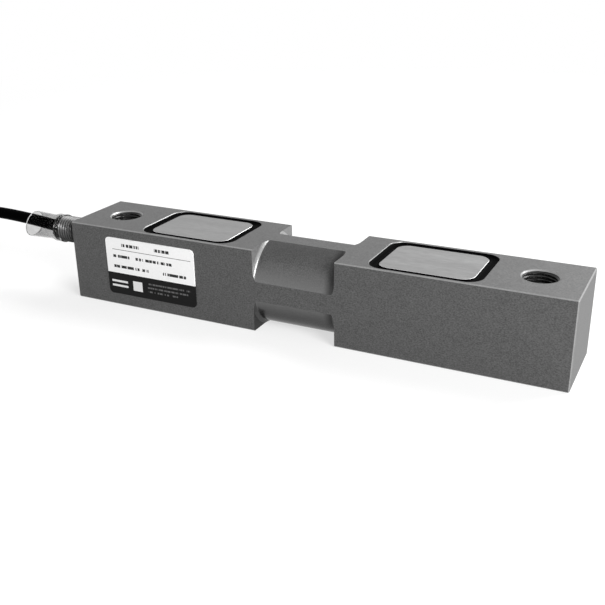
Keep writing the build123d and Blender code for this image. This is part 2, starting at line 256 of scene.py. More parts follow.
def core_points(number):
    """The way of one core from inside the jacket's end to its tip."""
    fan = number - (core_count - 1) / 2
    level = -1 if number % 2 else 1
    points = []
    for along, spread, height in core_steps:
        place = jacket_end + onward * along * mm + sideways * fan * spread * mm
        place.z = jacket_end.z + level * core_spread * mm if height is None else height * mm
        points.append(place)
    return points


core_colours = ["red", "black", "green", "white"]
core_pieces = {}
copper_pieces = []
for number, colour in enumerate(core_colours):
    points = core_points(number)
    tip = round_curve(f"core_tip_{colour}", points, copper_radius, sides=2, smoothness=5)
    copper_pieces.append(tip)
    points[-1] = points[-1] + (points[-2] - points[-1]).normalized() * stripped_length
    core_pieces[colour] = round_curve(f"core_{colour}", points, core_radius, sides=3, smoothness=5)
print("cores", list(core_pieces))

# %% [markdown]
# Node trees are long when every node takes five lines. This small helper adds a node, sets its
# options and joins its inputs in one call, for geometry trees and materials alike.

# %% Node helper
class Tree:
    """A node tree that is built by short calls."""

    def __init__(self, tree):
        self.tree = tree

    def add(self, kind, inputs=None, **options):
        """Add a node, set its options, and give each named input a value or a link."""
        node = self.tree.nodes.new(kind)
        for key, value in options.items():
            setattr(node, key, value)
        for key, value in (inputs or {}).items():
            self.join(value, node.inputs[key])
        return node

    def join(self, value, socket):
        """Link an output to an input, or set the input's own value."""
        if isinstance(value, bpy.types.NodeSocket):
            self.tree.links.new(value, socket)
        elif value is not None:
            socket.default_value = value

    def math(self, operation, first, second=None, third=None):
        """One step of arithmetic on numbers."""
        node = self.add("ShaderNodeMath", operation=operation)
        for socket, value in zip(node.inputs, (first, second, third)):
            self.join(value, socket)
        return node.outputs[0]

    def vector_math(self, operation, first, second=None, output="Vector"):
        """One step of arithmetic on places or directions."""
        node = self.add("ShaderNodeVectorMath", {0: first, 1: second}, operation=operation)
        return node.outputs[output]

    def place_parts(self):
        """The place on the object as three numbers."""
        place = self.add("ShaderNodeTexCoord").outputs["Object"]
        return self.add("ShaderNodeSeparateXYZ", {"Vector": place}).outputs


def new_group(name, kind, inputs, outputs):
    """A node group with named inputs and outputs, each input with its first value."""
    tree = bpy.data.node_groups.new(name, kind)
    for label, socket_type, value in inputs:
        socket = tree.interface.new_socket(label, in_out="INPUT", socket_type=socket_type)
        if value is not None:
            socket.default_value = value
    for label, socket_type in outputs:
        tree.interface.new_socket(label, in_out="OUTPUT", socket_type=socket_type)
    build = Tree(tree)
    source = build.add("NodeGroupInput")
    sink = build.add("NodeGroupOutput")
    return build, source.outputs, sink.inputs


print("node helper", Tree.__name__)

# %% [markdown]
# The steel of the beam is plated and satin, with a fine mottled grain that photographs as speckle.
# Two sizes of noise make it, and the group hands out a shade and a height, so the beam, the covers
# and the spigot can each take as much of it as they need.

# %% Shader group for the grain of satin metal
grain, given, out = new_group(
    "satin_grain", "ShaderNodeTree",
    [("Fine Scale", "NodeSocketFloat", 1500.0), ("Mottle Scale", "NodeSocketFloat", 220.0),
     ("Stretch", "NodeSocketVector", (1.0, 1.0, 1.0)), ("Mottle Share", "NodeSocketFloat", 0.4)],
    [("Shade", "NodeSocketFloat"), ("Height", "NodeSocketFloat")],
)
place = grain.add("ShaderNodeTexCoord").outputs["Object"]
stretched = grain.vector_math("MULTIPLY", place, given["Stretch"])
fine = grain.add("ShaderNodeTexNoise", {
    "Vector": stretched, "Scale": given["Fine Scale"], "Detail": 3.0, "Roughness": 0.6,
}).outputs[0]
mottle = grain.add("ShaderNodeTexNoise", {
    "Vector": stretched, "Scale": given["Mottle Scale"], "Detail": 4.0, "Roughness": 0.65,
}).outputs[0]
difference = grain.math("SUBTRACT", mottle, fine)
grain.join(grain.math("MULTIPLY_ADD", difference, given["Mottle Share"], fine), out["Shade"])
grain.join(fine, out["Height"])
print("group", grain.tree.name)


# %% Helpers for materials
shade_range = (0.3, 0.7)
mix_first, mix_second, mix_result = 6, 7, 2


def new_material(name):
    """An empty node material with its surface shader."""
    material = bpy.data.materials.new(name)
    material.use_nodes = True
    build = Tree(material.node_tree)
    shader = material.node_tree.nodes["Principled BSDF"]
    return material, build, shader


def ramp(build, value, low, high, low_at=0.0, high_at=1.0):
    """A colour that runs from one to another as a value rises."""
    node = build.add("ShaderNodeValToRGB", {"Fac": value})
    stops = node.color_ramp.elements
    stops[0].position, stops[0].color = low_at, (*low, 1.0)
    stops[1].position, stops[1].color = high_at, (*high, 1.0)
    return node.outputs["Color"]


def grey(level):
    """A neutral colour."""
    return (level, level, level)


def mixed(build, mask, first, second):
    """The first colour, or the second where a mask is set.

    A Mix node has sockets for each kind of value, and the numbers above are those for colours.
    """
    node = build.add("ShaderNodeMix", data_type="RGBA")
    build.join(mask, node.inputs[0])
    for socket, colour in ((mix_first, first), (mix_second, second)):
        is_link = isinstance(colour, bpy.types.NodeSocket)
        build.join(colour if is_link else (*colour, 1.0), node.inputs[socket])
    return node.outputs[mix_result]


def grain_texture(build, **values):
    """The shared grain, with any of its inputs set by name."""
    texture = build.add("ShaderNodeGroup", node_tree=grain.tree)
    for label, value in values.items():
        texture.inputs[label.replace("_", " ").title()].default_value = value
    return texture


def add_grain(build, shader, texture, roughness, depth, spread, strength):
    """Let the grain vary the roughness by a spread, and raise the surface by a depth in mm."""
    gloss = build.math("MULTIPLY_ADD", texture.outputs["Shade"], spread, roughness - spread / 2)
    build.join(gloss, shader.inputs["Roughness"])
    height = texture.outputs["Height"]
    raised = build.add(
        "ShaderNodeBump", {"Strength": strength, "Distance": depth * mm, "Height": height}
    )
    build.join(raised.outputs["Normal"], shader.inputs["Normal"])


print("material helpers share", grain.tree.name)

# %% [markdown]
# One function makes all the satin metals. A cover plate has a painted highlight along its broken
# edge, which is found from the way the surface faces. The turned neck takes painted light and
# shade: it is painted lighter where it faces the viewer and painted darker at its top, its
# underside and its right end. Each painted tone fades in along an axis, from a start to a stop in
# millimetres, up to a share.

# %% Satin metal
wall_below = 0.2
flat_above = 0.95


def satin_metal(
    name, dark, light, roughness, metallic, bump=0.02, stretch=(1, 1, 1), fine=1500.0,
    mottle_share=0.4, painted_edge_highlight=None, painted_shading=(), specular=0.5,
):
    """Plated or ground metal with the shared grain in its colour, gloss and surface, and where given,
    a painted edge highlight and painted light and shade.
    """
    material, build, shader = new_material(name)
    texture = grain_texture(build, fine_scale=fine, mottle_share=mottle_share, stretch=stretch)
    colour = ramp(build, texture.outputs["Shade"], dark, light, *shade_range)
    if painted_edge_highlight:
        facing = build.add("ShaderNodeTexCoord").outputs["Normal"]
        facing_parts = build.add("ShaderNodeSeparateXYZ", {"Vector": facing}).outputs
        upright = build.math("ABSOLUTE", facing_parts["Z"])
        off_wall = build.math("GREATER_THAN", upright, wall_below)
        off_flat = build.math("LESS_THAN", upright, flat_above)
        colour = mixed(build, build.math("MULTIPLY", off_wall, off_flat), colour, painted_edge_highlight)
    for axis, start, stop, tone, share in painted_shading:
        where = build.place_parts()[axis]
        reach = build.add("ShaderNodeMapRange", {
            "Value": where, "From Min": start * mm, "From Max": stop * mm, "To Max": share,
        })
        colour = mixed(build, reach.outputs[0], colour, tone)
    build.join(colour, shader.inputs["Base Color"])
    shader.inputs["Metallic"].default_value = metallic
    shader.inputs["Specular IOR Level"].default_value = specular
    add_grain(build, shader, texture, roughness, bump, spread=0.16, strength=0.35)
    return material


print("satin metal takes its bright edge between", wall_below, "and", flat_above)

# %% Steels
beam_steel = satin_metal(
    "beam_steel", grey(0.034), grey(0.117), roughness=0.5, metallic=0.35, bump=0.03,
    stretch=(0.6, 1, 1), fine=2700.0, mottle_share=0.1,
)
turned_steel = satin_metal(
    "turned_steel", grey(0.045), grey(0.14), roughness=0.22, metallic=0.5, bump=0.005,
    stretch=(1, 0.7, 0.7), fine=3400.0, mottle_share=0.15, specular=0.1,
    # Painted light on the neck's front, and painted shade at its top, its underside and its right
    # end.
    painted_shading=[
        ("Z", 29.0, 21.0, grey(0.2), 0.6), ("Z", 28.0, 33.0, grey(0.02), 0.35),
        ("Z", 14.0, 4.0, grey(0.006), 0.95), ("X", 12.3, 15.2, grey(0.008), 0.7),
    ],
)
# The upper half of each shoulder face is painted paler as painted light.
shoulder_painted_light_steel = satin_metal(
    "shoulder_painted_light_steel", grey(0.1), grey(0.19), roughness=0.4, metallic=0.2, bump=0.005
)
# The upper fillet that faces the light is painted pale as a painted highlight.
fillet_painted_highlight_steel = satin_metal(
    "fillet_painted_highlight_steel", grey(0.17), grey(0.28), roughness=0.3, metallic=0.3, bump=0.005
)
# The other fillets are painted near black as painted shade.
fillet_painted_shade_steel = satin_metal(
    "fillet_painted_shade_steel", grey(0.01), grey(0.035), roughness=0.45, metallic=0.2, bump=0.005
)
# The beam's broken edges take a paler metal as a painted highlight.
edge_painted_highlight_steel = satin_metal(
    "edge_painted_highlight_steel", grey(0.2), grey(0.3), roughness=0.35, metallic=0.6, bump=0.005
)
# The covers' broken edges are painted near white as a painted highlight.
cover_steel = satin_metal(
    "cover_steel", grey(0.17), grey(0.27), roughness=0.42, metallic=0.7,
    stretch=(0.12, 1, 1), fine=2000.0, painted_edge_highlight=grey(0.7),
)
thread_steel = satin_metal(
    "thread_steel", grey(0.12), grey(0.22), roughness=0.34, metallic=0.9, bump=0.01
)
print("metals", beam_steel.name, turned_steel.name, cover_steel.name)

# %% [markdown]
# The cable's jacket is smooth black PVC, and the sealing compound is as black. In the photograph
# both show next to no reflection, so they have very little. Plain plastics differ mostly in colour
# and gloss, so one function makes them all, with a faint grain.

# %% Plastics and rubber
plastic_grain = 900.0
plastic_variation = 0.15
plastic_bump = 0.01


def soft_plastic(name, colour, roughness, coat=0.0, specular=0.5):
    """Moulded or extruded plastic, with a faint grain in its colour and gloss."""
    material, build, shader = new_material(name)
    texture = grain_texture(build, fine_scale=plastic_grain)
    low = tuple(channel * (1 - plastic_variation) for channel in colour)
    high = tuple(min(channel * (1 + plastic_variation), 1.0) for channel in colour)
    tone = ramp(build, texture.outputs["Shade"], low, high, *shade_range)
    build.join(tone, shader.inputs["Base Color"])
    shader.inputs["Coat Weight"].default_value = coat
    shader.inputs["Specular IOR Level"].default_value = specular
    add_grain(build, shader, texture, roughness, plastic_bump, spread=0.12, strength=0.3)
    return material


jacket_black = soft_plastic(
    "jacket_black", (0.0006, 0.0006, 0.0007), roughness=0.42, specular=0.005
)
seal_black = soft_plastic("seal_black", (0.001, 0.001, 0.0011), roughness=0.4, specular=0.004)
nylon_black = soft_plastic("nylon_black", (0.006, 0.006, 0.0062), roughness=0.42)
gauge_amber = soft_plastic("gauge_amber", (0.62, 0.33, 0.08), roughness=0.35)
terminal_tan = soft_plastic("terminal_tan", (0.5, 0.32, 0.14), roughness=0.45)
coating_silicone = soft_plastic("coating_silicone", (0.72, 0.7, 0.64), roughness=0.25, coat=0.3)
board_green = soft_plastic("board_green", (0.03, 0.2, 0.09), roughness=0.35, coat=0.3)
resistor_blue = soft_plastic("resistor_blue", (0.2, 0.36, 0.5), roughness=0.3, coat=0.4)
copper = satin_metal(
    "copper", (0.65, 0.3, 0.16), (0.8, 0.42, 0.25), roughness=0.35, metallic=1.0, stretch=(1, 6, 6)
)
core_paints = {
    "red": soft_plastic("core_red", (0.5, 0.03, 0.03), roughness=0.35),
    "black": soft_plastic("core_black", (0.015, 0.015, 0.016), roughness=0.35),
    "green": soft_plastic("core_green", (0.03, 0.28, 0.07), roughness=0.35),
    "white": soft_plastic("core_white", (0.75, 0.75, 0.73), roughness=0.35),
}
print("plastics ready")

# %% [markdown]
# The threads are cut at a constant rise for each turn, so their surface follows a rule: the radius
# at a place depends only on its height and angle. A geometry tree rolls a flat grid into a tube,
# gives each point that radius, and closes the wall behind it. The same tree cuts the inside of a
# hole and the outside of the spigot. Each step of the rule is one node for arithmetic.

# %% Tree of a cut thread: its inputs, its grid and the height of each row
crest_share = 0.125
flank_share = 0.75
threads, given, out = new_group(
    "cut_thread", "GeometryNodeTree",
    [("Geometry", "NodeSocketGeometry", None), ("Thread Radius", "NodeSocketFloat", 0.00635),
     ("Depth", "NodeSocketFloat", 0.0007), ("Pitch", "NodeSocketFloat", 0.00127),
     ("Length", "NodeSocketFloat", 0.0325), ("Wall Radius", "NodeSocketFloat", 0.0064),
     ("Chamfer", "NodeSocketFloat", 0.0), ("Inside", "NodeSocketBool", True),
     ("Sides", "NodeSocketInt", 72), ("Rows", "NodeSocketInt", 260),
     ("Material", "NodeSocketMaterial", None)],
    [("Geometry", "NodeSocketGeometry")],
)
step = threads.math
rows, length, full_radius = given["Rows"], given["Length"], given["Thread Radius"]
grid_rows = step("ADD", rows, 3.0)
grid_columns = step("ADD", given["Sides"], 1.0)
grid = threads.add("GeometryNodeMeshGrid", {
    "Size X": 1.0, "Size Y": 1.0, "Vertices X": grid_columns, "Vertices Y": grid_rows,
})
position = threads.add("GeometryNodeInputPosition").outputs[0]
flat = threads.add("ShaderNodeSeparateXYZ", {"Vector": position}).outputs
round_share = step("ADD", flat["X"], 0.5)
row_share = step("ADD", flat["Y"], 0.5)
row = step("ROUND", step("MULTIPLY", row_share, step("SUBTRACT", grid_rows, 1.0)))
inner_row = step("MINIMUM", step("MAXIMUM", row, 1.0), rows)
rise_share = step("DIVIDE", step("SUBTRACT", inner_row, 1.0), step("SUBTRACT", rows, 1.0))
is_closing = step("GREATER_THAN", row, step("ADD", rows, 1.5))
height = step("MULTIPLY", step("MULTIPLY", rise_share, length), step("SUBTRACT", 1.0, is_closing))
print("thread tree so far", len(threads.tree.nodes), "nodes")

# %% Tree of a cut thread: the radius at each point
phase = step("FRACT", step("SUBTRACT", step("DIVIDE", height, given["Pitch"]), round_share))
wave = step("ABSOLUTE", step("MULTIPLY_ADD", phase, 2.0, -1.0))
flank = step("MULTIPLY", step("SUBTRACT", wave, crest_share), 1 / flank_share)
flank = step("MINIMUM", step("MAXIMUM", flank, 0.0), 1.0)
cut_radius = step("SUBTRACT", full_radius, step("MULTIPLY", flank, given["Depth"]))
from_end = step("MINIMUM", height, step("SUBTRACT", length, height))
inside_limit = step("SUBTRACT", full_radius, from_end)
outside_limit = step("ADD", step("SUBTRACT", full_radius, given["Chamfer"]), from_end)
choice = threads.add("GeometryNodeSwitch", input_type="FLOAT")
threads.join(given["Inside"], choice.inputs["Switch"])
threads.join(step("MINIMUM", cut_radius, outside_limit), choice.inputs["False"])
threads.join(step("MAXIMUM", cut_radius, inside_limit), choice.inputs["True"])
thread_reach = choice.outputs[0]
is_first = step("LESS_THAN", row, 0.5)
is_beyond = step("GREATER_THAN", row, step("ADD", rows, 0.5))
is_wall = step("MAXIMUM", is_first, is_beyond)
to_wall = step("SUBTRACT", given["Wall Radius"], thread_reach)
reach = step("MULTIPLY_ADD", is_wall, to_wall, thread_reach)
print("thread tree so far", len(threads.tree.nodes), "nodes")

# %% Tree of a cut thread: the grid rolled into a closed tube
angle = step("MULTIPLY", round_share, tau)
rolled = threads.add("ShaderNodeCombineXYZ", {
    "X": step("MULTIPLY", reach, step("COSINE", angle)),
    "Y": step("MULTIPLY", reach, step("SINE", angle)),
    "Z": height,
}).outputs[0]
shaped = threads.add(
    "GeometryNodeSetPosition", {"Geometry": grid.outputs["Mesh"], "Position": rolled}
)
welded = threads.add(
    "GeometryNodeMergeByDistance", {"Geometry": shaped.outputs[0], "Distance": 1e-6}
)
realised = threads.add("GeometryNodeRealizeInstances", {"Geometry": welded.outputs[0]})
dressed = threads.add(
    "GeometryNodeSetMaterial", {"Geometry": realised.outputs[0], "Material": given["Material"]}
)
threads.join(dressed.outputs[0], out["Geometry"])
print("thread tree", len(threads.tree.nodes), "nodes")

# %% [markdown]
# A thread, a bead of compound and a sleeve are all loops of points with faces between them, so a
# few helpers join loops, name what comes out and turn its faces outwards. What a geometry tree
# grows is made a plain mesh at once, because the finished piece has to have real faces.

# %% Helpers for meshes
def object_from(work, name):
    """Turn a finished working mesh into an object."""
    mesh = bpy.data.meshes.new(name)
    work.to_mesh(mesh)
    work.free()
    return add_object(name, mesh)


def join_loops(work, loops):
    """Faces between loops of points, from each to the next and from the last to the first."""
    for loop, other in zip(loops, loops[1:] + loops[:1]):
        for number in range(len(loop)):
            after = (number + 1) % len(loop)
            work.faces.new((loop[number], loop[after], other[after], other[number]))


def paint(item, *materials):
    """Give a piece its materials, in the order of their numbers."""
    item.data.materials.clear()
    for material in materials:
        item.data.materials.append(material)


def face_outwards(mesh, sharp_degrees=30.0):
    """Merge doubles, turn every face outwards and smooth all but the sharp edges."""
    work = bmesh.new()
    work.from_mesh(mesh)
    bmesh.ops.remove_doubles(work, verts=work.verts, dist=1e-7)
    bmesh.ops.recalc_face_normals(work, faces=work.faces)
    work.to_mesh(mesh)
    work.free()
    mesh.shade_smooth()
    mesh.set_sharp_from_angle(angle=radians(sharp_degrees))


def grown_mesh(name, build, values, place):
    """A piece made by a geometry tree, as a plain mesh with its place in the mesh."""
    item = add_object(name, bpy.data.meshes.new(name))
    modifier = item.modifiers.new(name, "NODES")
    modifier.node_group = build.tree
    for socket in build.tree.interface.items_tree:
        if socket.in_out == "INPUT" and socket.name in values:
            modifier[socket.identifier] = values[socket.name]
    mesh = evaluated_mesh(item)
    item.modifiers.clear()
    mesh.transform(place)
    item.data = mesh
    face_outwards(mesh)
    return item


print("mesh helpers ready")

# %% [markdown]
# A hole goes right through each block. The imported model has it as a plain bore at the thread's full
# diameter, so a threaded tube is set into it, with its outer wall a hair inside the steel. Crests
# are worn bright and the grooves are painted dark as painted shade, so the metal is coloured by its
# distance from the hole's axis.

# %% Metal of a cut thread
wear_and_shade_unevenness = 0.5
thread_roughness = 0.3


def thread_metal(name, centre, across, bottom_radius, crest_radius, dark, light, metallic):
    """Metal of a cut thread: bright at the worn crests and painted dark in the grooves as painted
    shade.
    """
    material, build, shader = new_material(name)
    place = build.add("ShaderNodeTexCoord").outputs["Object"]
    from_centre = build.vector_math("SUBTRACT", place, centre)
    from_axis = build.vector_math("MULTIPLY", from_centre, across)
    radius = build.vector_math("LENGTH", from_axis, output="Value")
    crest = build.add(
        "ShaderNodeMapRange", {"Value": radius, "From Min": bottom_radius, "From Max": crest_radius}
    ).outputs[0]
    unevenness = build.math("SUBTRACT", grain_texture(build).outputs["Shade"], 0.5)
    worn_and_shaded = build.math("MULTIPLY_ADD", unevenness, wear_and_shade_unevenness, crest)
    colour = ramp(build, worn_and_shaded, dark, light, low_at=0.15, high_at=0.9)
    build.join(colour, shader.inputs["Base Color"])
    shader.inputs["Roughness"].default_value = thread_roughness
    shader.inputs["Metallic"].default_value = metallic
    return material


print("thread metal ready")

# %% Threads of the two holes
hole_spacing = 174.0 * mm
hole_radius = 6.35 * mm
hole_mouth = 0.5 * mm
hole_clearance = 0.02 * mm
hole_rows = 256
thread_depth = 0.7 * mm
thread_pitch = 1.27 * mm
across_z = (1.0, 1.0, 0.0)
beam_low, beam_high = (Vector(corner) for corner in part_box("beam_body"))
thread_length = beam_high.z - beam_low.z - 2 * hole_mouth
hole_threads = []
for side, x in (("left", -hole_spacing / 2), ("right", hole_spacing / 2)):
    # The threads in the holes are painted nearly black all over: painted shade inside the bore.
    hole_painted_shade_steel = thread_metal(
        f"hole_painted_shade_steel_{side}", (x, 0, 0), across_z, hole_radius, hole_radius - thread_depth,
        grey(0.002), grey(0.03), metallic=0.6,
    )
    values = {
        "Thread Radius": hole_radius, "Depth": thread_depth, "Pitch": thread_pitch, "Inside": True,
        "Length": thread_length, "Wall Radius": hole_radius + hole_clearance,
        "Rows": hole_rows, "Material": hole_painted_shade_steel,
    }
    place = Matrix.Translation((x, 0, beam_low.z + hole_mouth))
    piece = grown_mesh(f"hole_thread_{side}", threads, values, place)
    hole_threads.append(piece)
    print(piece.name, len(piece.data.polygons), "faces")

# %% [markdown]
# The spigot is a short threaded tube. Its thread comes from the same tree, turned to point out of
# the end face, with the cable's bore as its inner wall.

# %% Threaded spigot
spigot_radius = 5.556 * mm
spigot_length = 12.8 * mm
spigot_bore = 3.9 * mm
spigot_chamfer = 0.8 * mm
spigot_rows = 110
across_x = (0.0, 1.0, 1.0)
spigot_steel = thread_metal(
    "spigot_steel", spigot_axis, across_x, spigot_radius - thread_depth, spigot_radius,
    grey(0.03), grey(0.085), metallic=0.4,
)
values = {
    "Thread Radius": spigot_radius, "Depth": thread_depth, "Pitch": thread_pitch, "Inside": False,
    "Length": spigot_length, "Wall Radius": spigot_bore, "Chamfer": spigot_chamfer,
    "Rows": spigot_rows, "Material": spigot_steel,
}
place = Matrix.Translation(spigot_axis) @ Matrix.Rotation(-pi / 2, 4, "Y")
spigot = grown_mesh("spigot", threads, values, place)
print(spigot.name, len(spigot.data.polygons), "faces")

# %% [markdown]
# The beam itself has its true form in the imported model. Its mesh comes as loose triangles, so a
# copy is merged and shaded smooth, apart from its sharp edges. That keeps the neck round under a
# raking light while the small broken edges still catch a line of light.

# %% Beam body
flat_from = 0.99999


def merged_copy(node, name, sharp_degrees):
    """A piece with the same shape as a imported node, welded and smoothly shaded."""
    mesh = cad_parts[node].data.copy()
    mesh.name = name
    work = bmesh.new()
    work.from_mesh(mesh)
    bmesh.ops.remove_doubles(work, verts=work.verts, dist=1e-6)
    work.to_mesh(mesh)
    work.free()
    mesh.shade_smooth()
    mesh.set_sharp_from_angle(angle=radians(sharp_degrees))
    for face in mesh.polygons:
        face.use_smooth = max(abs(part) for part in face.normal) < flat_from
    return add_object(name, mesh)


beam = merged_copy("beam_body", "beam", sharp_degrees=22.0)
print(beam.name, len(beam.data.polygons), "faces")

# %% [markdown]
# One material over the whole beam would look like a casting. Its faces are sorted instead by where
# they lie and which way they face: the neck and its corners were cut on a lathe. The broken edges
# take a painted highlight, the upper half of each shoulder is painted paler as painted light, the
# upper fillet that faces the light takes a painted highlight, and the other fillets take painted
# shade.

# %% Finishes of the beam's faces
fillet_from = 0.45
slanted_below = 0.95
neck_length = 34.0 * mm
neck_margin = 0.01 * mm
edge_depth = 0.45 * mm
axis_height = (beam_low.z + beam_high.z) / 2


def is_broken_edge(face):
    """Whether a face is part of a chamfer on an outer edge or on the mouth of a hole or recess."""
    from_top_or_foot = min(face.center.z - beam_low.z, beam_high.z - face.center.z)
    from_front_or_back = min(abs(face.center.y - beam_low.y), abs(beam_high.y - face.center.y))
    at_skin = min(from_top_or_foot, from_front_or_back) < edge_depth
    clear_of_neck = abs(face.center.x) > neck_length / 2
    return at_skin and clear_of_neck and max(abs(part) for part in face.normal) < slanted_below


def is_turned(face):
    """Whether a face was cut by the lathe: the neck's round, its corners and the two shoulders."""
    on_bar_side = max(abs(face.normal.y), abs(face.normal.z)) > flat_from
    return abs(face.center.x) < neck_length / 2 + neck_margin and not on_bar_side


def beam_finish(face):
    """The metal of one face of the beam, with painted highlights and painted light and shade."""
    if is_broken_edge(face):
        return edge_painted_highlight_steel
    if not is_turned(face):
        return beam_steel
    in_lower_half = face.center.z < axis_height
    if abs(face.normal.x) > flat_from:
        return turned_steel if in_lower_half else shoulder_painted_light_steel
    if abs(face.normal.x) > fillet_from:
        return fillet_painted_highlight_steel if face.normal.x > 0 and not in_lower_half else fillet_painted_shade_steel
    return turned_steel


beam_finishes = [beam_steel, edge_painted_highlight_steel, turned_steel, shoulder_painted_light_steel, fillet_painted_highlight_steel, fillet_painted_shade_steel]
paint(beam, *beam_finishes)
for face in beam.data.polygons:
    face.material_index = beam_finishes.index(beam_finish(face))
print(beam.name, len(beam.data.materials), "finishes")

# %% [markdown]
# Each cover sits in a recess, and black compound fills the groove round it. As it sets, the
# compound creeps up both walls and sinks in the middle. So the bead is a ring with a hollow top,
# swept between two rounded rectangles that have the same number of points.

# %% Outlines of recess and cover
recess = (42.0 * mm, 31.2 * mm, 6.0 * mm)
cover = (35.6 * mm, 26.2 * mm, 4.8 * mm)
corner_steps = 10


def rounded_loop(length, width, corner):
    """Points round a rectangle with round corners, anticlockwise."""
    points = []
    for quarter in range(4):
        sign_x = (1, -1, -1, 1)[quarter]
        sign_y = (1, 1, -1, -1)[quarter]
        centre = Vector((sign_x * (length / 2 - corner), sign_y * (width / 2 - corner)))
        for number in range(corner_steps + 1):
            angle = (quarter + number / corner_steps) * pi / 2
            points.append(centre + Vector((cos(angle), sin(angle))) * corner)
    return points


print("points round a recess", len(rounded_loop(*recess)))

# %% Sealing beads
pocket_centre = 49.0 * mm
bead_bottom = 2.2 * mm
bead_sink = 1.0 * mm
bead_creep = 0.35 * mm
creep_power = 1.5
bead_columns = 8


def sealing_bead(name, x, face_height, up):
    """A ring of compound between a cover and its recess, with a hollow top."""
    outer = rounded_loop(*recess)
    inner = rounded_loop(*cover)
    work = bmesh.new()
    rings = []
    for column in range(bead_columns + 1):
        share = column / bead_columns
        hollow = (2 * share - 1) ** 2
        depth = bead_sink - (bead_sink - bead_creep) * hollow**creep_power
        rings.append((share, depth))
    rings += [(1.0, bead_bottom), (0.0, bead_bottom)]
    loops = []
    for share, depth in rings:
        loop = []
        for a, b in zip(inner, outer):
            flat = a.lerp(b, share)
            loop.append(work.verts.new((x + flat.x, flat.y, face_height - up * depth)))
        loops.append(loop)
    join_loops(work, loops)
    item = object_from(work, name)
    face_outwards(item.data, sharp_degrees=50.0)
    paint(item, seal_black)
    return item


beads = {}
for side, x in (("left", -pocket_centre), ("right", pocket_centre)):
    for face, face_height, up in (("top", beam_high.z, 1), ("bottom", beam_low.z, -1)):
        beads[f"{side}_{face}"] = sealing_bead(f"bead_{side}_{face}", x, face_height, up)
print("beads", list(beads))

# %% [markdown]
# A short clear tube is pushed over the nose of the spigot and shields the cable's first bend. It
# is turned from a profile of radii along its axis, and its mouth is tilted up after the cable.

# %% Clear sleeve
sleeve_wall = 0.35 * mm
sleeve_sides = 64
mouth_tilt = 11.0
rim_from = 26.6 * mm
sleeve_stations = [
    (9.2, 5.6, 0.0), (11.0, 5.6, 0.0), (12.8, 5.58, 0.0), (14.0, 5.2, 0.0), (15.4, 4.97, 0.0),
    (18.0, 4.98, 1.0), (21.0, 5.1, 4.0), (24.0, 5.22, 7.5), (26.7, 5.3, 10.6),
    (27.0, 5.3, mouth_tilt),
]


def sleeve_ring(work, away, radius, tilt):
    """One ring of points across the sleeve, leaning by a tilt."""
    ring = []
    for number in range(sleeve_sides):
        angle = tau * number / sleeve_sides
        across, height = radius * cos(angle), radius * sin(angle)
        lean = height * sin(radians(tilt))
        ring.append(work.verts.new(spigot_axis + Vector((-away + lean, across, height))))
    return ring


def sleeve_wall_rings(work, extra):
    """The rings of one wall of the sleeve, at a distance outside its inner radii."""
    return [
        sleeve_ring(work, away * mm, radius * mm + extra, tilt)
        for away, radius, tilt in sleeve_stations
    ]


work = bmesh.new()
outside = sleeve_wall_rings(work, sleeve_wall)
inside = sleeve_wall_rings(work, 0.0)
join_loops(work, outside + inside[::-1])
sleeve = object_from(work, "sleeve")
face_outwards(sleeve.data, sharp_degrees=50.0)
print(sleeve.name, len(sleeve.data.polygons), "faces")

# %% [markdown]
# The tube is thin and clear, so it bends the light very little, and a slight grey stands for its
# haze. Its cut mouth catches the light all round, so that ring of faces is painted paler as a
# painted highlight.

# %% Clear tube and its rim
tube_haze = 0.04
tube_ior = 1.08
clear_tube, build, shader = new_material("clear_tube")
shade = grain_texture(build, fine_scale=500.0).outputs["Shade"]
build.join(ramp(build, shade, grey(0.5), grey(0.66), *shade_range), shader.inputs["Base Color"])
build.join(build.math("MULTIPLY", shade, tube_haze), shader.inputs["Roughness"])
shader.inputs["Transmission Weight"].default_value = 1.0
shader.inputs["IOR"].default_value = tube_ior

# The rim's pale grey is a painted highlight.
clear_rim_painted_highlight, build, shader = new_material("clear_rim_painted_highlight")
shade = grain_texture(build).outputs["Shade"]
build.join(ramp(build, shade, grey(0.7), grey(0.9), *shade_range), shader.inputs["Base Color"])
shader.inputs["Roughness"].default_value = 0.2
shader.inputs["Transmission Weight"].default_value = 0.35

paint(sleeve, clear_tube, clear_rim_painted_highlight)
for face in sleeve.data.polygons:
    from_axis = face.center - spigot_axis
    away = from_axis.z * sin(radians(mouth_tilt)) - from_axis.x
    face.material_index = 1 if away > rim_from else 0
print("rim faces", sum(face.material_index for face in sleeve.data.polygons))

# %% [markdown]
# The plate is a white printed foil with a black band along its foot. Print is flat colour, so it
# belongs in the material: one group gives a row of dashes of uneven length between two ends, and
# the rows together read as small print from a step away without being words.

# %% Shader group for a row of print
row_print, given, out = new_group(
    "print_row", "ShaderNodeTree",
    [("Left", "NodeSocketFloat", 0.0), ("Right", "NodeSocketFloat", 0.01),
     ("Middle", "NodeSocketFloat", 0.0), ("Tall", "NodeSocketFloat", 0.001),
     ("Dash Scale", "NodeSocketFloat", 900.0), ("Fill", "NodeSocketFloat", 0.5)],
    [("Mask", "NodeSocketFloat")],
)
spot = row_print.place_parts()
above = row_print.math("ABSOLUTE", row_print.math("SUBTRACT", spot["Z"], given["Middle"]))
in_row = row_print.math("LESS_THAN", above, row_print.math("MULTIPLY", given["Tall"], 0.5))
after_left = row_print.math("GREATER_THAN", spot["X"], given["Left"])
before_right = row_print.math("LESS_THAN", spot["X"], given["Right"])
in_box = row_print.math("MULTIPLY", in_row, row_print.math("MULTIPLY", after_left, before_right))
strip = row_print.add("ShaderNodeCombineXYZ", {"X": spot["X"], "Y": given["Middle"], "Z": 0.0})
dashes = row_print.add(
    "ShaderNodeTexNoise", {"Vector": strip.outputs[0], "Scale": given["Dash Scale"], "Detail": 1.0}
).outputs[0]
